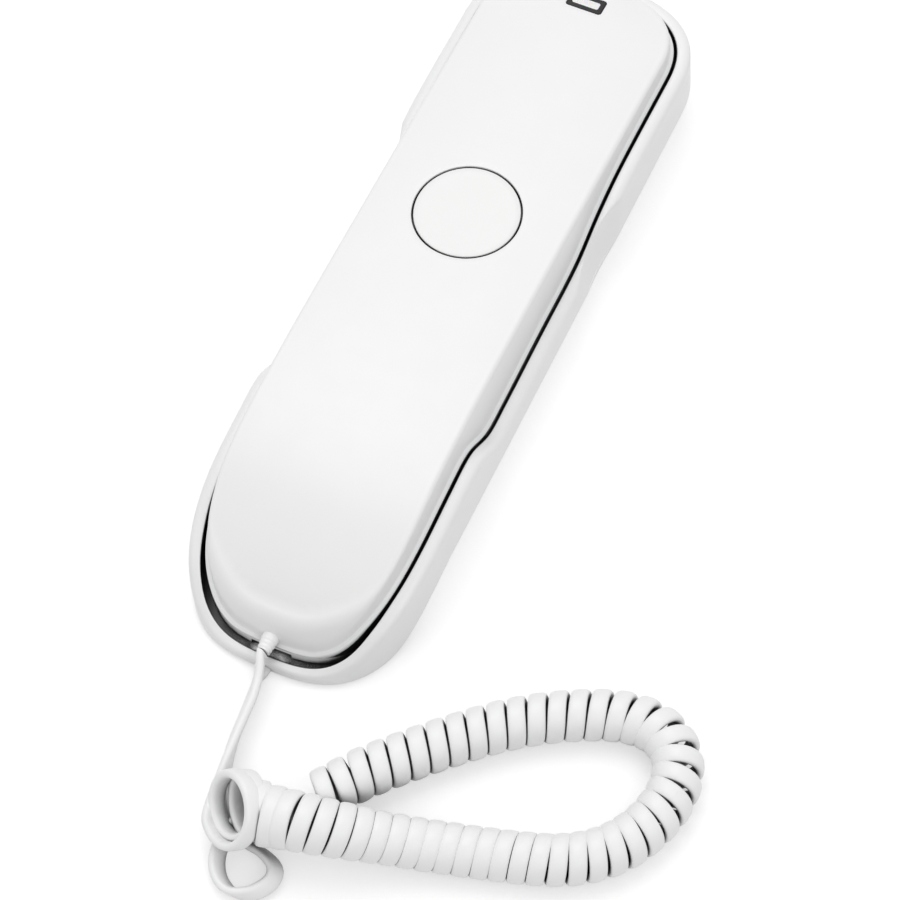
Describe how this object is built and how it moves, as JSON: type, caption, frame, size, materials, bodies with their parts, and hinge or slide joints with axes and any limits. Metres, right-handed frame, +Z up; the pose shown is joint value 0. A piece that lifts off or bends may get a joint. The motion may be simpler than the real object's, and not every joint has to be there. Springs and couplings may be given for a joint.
{
  "type": "corded landline phone",
  "caption": "Slim corded telephone: keypad handset face down in its cradle, round inset and lamp window on its back, curly cord to the base.",
  "frame": {"origin": "on the surface that the base stands on, under the middle of the base", "axes": "+Z up, +Y along the base towards the earpiece end, +X to the right seen from the mouthpiece end"},
  "size_m": [0.1425, 0.265, 0.0361],
  "materials": {
    "cover_white": "white ABS, satin to semi-gloss, moulded",
    "handset_white": "white ABS, semi-gloss, moulded",
    "inset_white": "white ABS disc, fine satin",
    "key_white": "white moulded keys, matt, with plain grey digits",
    "lamp_clear": "frosted clear polycarbonate light pipe",
    "led_red": "red epoxy lamp",
    "cord_white": "soft white PVC cord jacket",
    "rubber_grey": "grey silicone rubber",
    "rubber_black": "black foam rubber and EPDM",
    "board_green": "glass-epoxy circuit board with solder mask",
    "part_black": "black moulded switch housings",
    "jack_white": "natural white nylon jack body",
    "brass_disc": "brass sounder disc with a plastic rim",
    "steel": "zinc-plated steel",
    "ballast": "plain stamped steel weight",
    "speaker_grey": "grey receiver capsule with a steel back"
  },
  "bodies": {
    "base": {"base_cover": "cover_white", "base_bottom": "cover_white", "base_board": "board_green", "ringer_sounder": "brass_disc", "hook_spring": "steel", "hook_switch": "part_black", "line_jack": "jack_white", "ballast_plate": "ballast", "base_feet": "rubber_grey", "base_screws": "steel", "wall_hook_tab": "cover_white", "ringer_switch": "part_black", "cord_grommet": "cord_white", "cord_handset_lead": "cord_white", "cord_coil": "cord_white", "cord_base_lead": "cord_white"},
    "hook_plunger": {"hook_plunger": "cover_white"},
    "ringer_knob": {"ringer_switch_knob": "key_white"},
    "handset": {"handset_back": "handset_white", "handset_front": "handset_white", "round_inset": "inset_white", "lamp_window": "lamp_clear", "lamp_led": "led_red", "earpiece_speaker": "speaker_grey", "earpiece_gasket": "rubber_black", "microphone": "steel", "microphone_boot": "rubber_black", "handset_board": "board_green", "keypad_mat": "rubber_grey", "handset_screws": "steel", "cord_boot": "cord_white"},
    "key_1": {"key_1": "key_white"},
    "key_2": {"key_2": "key_white"},
    "key_3": {"key_3": "key_white"},
    "key_4": {"key_4": "key_white"},
    "key_5": {"key_5": "key_white"},
    "key_6": {"key_6": "key_white"},
    "key_7": {"key_7": "key_white"},
    "key_8": {"key_8": "key_white"},
    "key_9": {"key_9": "key_white"},
    "key_star": {"key_star": "key_white"},
    "key_0": {"key_0": "key_white"},
    "key_hash": {"key_hash": "key_white"},
    "key_flash": {"key_flash": "key_white"},
    "key_redial": {"key_redial": "key_white"},
    "key_mute": {"key_mute": "key_white"}
  },
  "joints": [
    {"name": "handset_lift", "type": "slide", "parent": "base", "child": "handset", "axis": [0, 0, 1], "range_m": [0, 0.08]},
    {"name": "hook_plunger_rise", "type": "slide", "parent": "base", "child": "hook_plunger", "axis": [0, 0, 1], "range_m": [0, 0.0032], "deforming": ["hook_spring"]},
    {"name": "ringer_switch_slide", "type": "slide", "parent": "base", "child": "ringer_knob", "axis": [0, 1, 0], "range_m": [-0.003, 0.003]},
    {"name": "key_1_press", "type": "slide", "parent": "handset", "child": "key_1", "axis": [0, 0, 1], "range_m": [0, 0.0012], "stiffness_N_per_m": 700},
    {"name": "key_2_press", "type": "slide", "parent": "handset", "child": "key_2", "axis": [0, 0, 1], "range_m": [0, 0.0012], "stiffness_N_per_m": 700},
    {"name": "key_3_press", "type": "slide", "parent": "handset", "child": "key_3", "axis": [0, 0, 1], "range_m": [0, 0.0012], "stiffness_N_per_m": 700},
    {"name": "key_4_press", "type": "slide", "parent": "handset", "child": "key_4", "axis": [0, 0, 1], "range_m": [0, 0.0012], "stiffness_N_per_m": 700},
    {"name": "key_5_press", "type": "slide", "parent": "handset", "child": "key_5", "axis": [0, 0, 1], "range_m": [0, 0.0012], "stiffness_N_per_m": 700},
    {"name": "key_6_press", "type": "slide", "parent": "handset", "child": "key_6", "axis": [0, 0, 1], "range_m": [0, 0.0012], "stiffness_N_per_m": 700},
    {"name": "key_7_press", "type": "slide", "parent": "handset", "child": "key_7", "axis": [0, 0, 1], "range_m": [0, 0.0012], "stiffness_N_per_m": 700},
    {"name": "key_8_press", "type": "slide", "parent": "handset", "child": "key_8", "axis": [0, 0, 1], "range_m": [0, 0.0012], "stiffness_N_per_m": 700},
    {"name": "key_9_press", "type": "slide", "parent": "handset", "child": "key_9", "axis": [0, 0, 1], "range_m": [0, 0.0012], "stiffness_N_per_m": 700},
    {"name": "key_star_press", "type": "slide", "parent": "handset", "child": "key_star", "axis": [0, 0, 1], "range_m": [0, 0.0012], "stiffness_N_per_m": 700},
    {"name": "key_0_press", "type": "slide", "parent": "handset", "child": "key_0", "axis": [0, 0, 1], "range_m": [0, 0.0012], "stiffness_N_per_m": 700},
    {"name": "key_hash_press", "type": "slide", "parent": "handset", "child": "key_hash", "axis": [0, 0, 1], "range_m": [0, 0.0012], "stiffness_N_per_m": 700},
    {"name": "key_flash_press", "type": "slide", "parent": "handset", "child": "key_flash", "axis": [0, 0, 1], "range_m": [0, 0.0012], "stiffness_N_per_m": 700},
    {"name": "key_redial_press", "type": "slide", "parent": "handset", "child": "key_redial", "axis": [0, 0, 1], "range_m": [0, 0.0012], "stiffness_N_per_m": 700},
    {"name": "key_mute_press", "type": "slide", "parent": "handset", "child": "key_mute", "axis": [0, 0, 1], "range_m": [0, 0.0012], "stiffness_N_per_m": 700}
  ],
  "couplings": [
    {"joint": "hook_plunger_rise", "follows": "handset_lift", "ratio": 0.04}
  ]
}
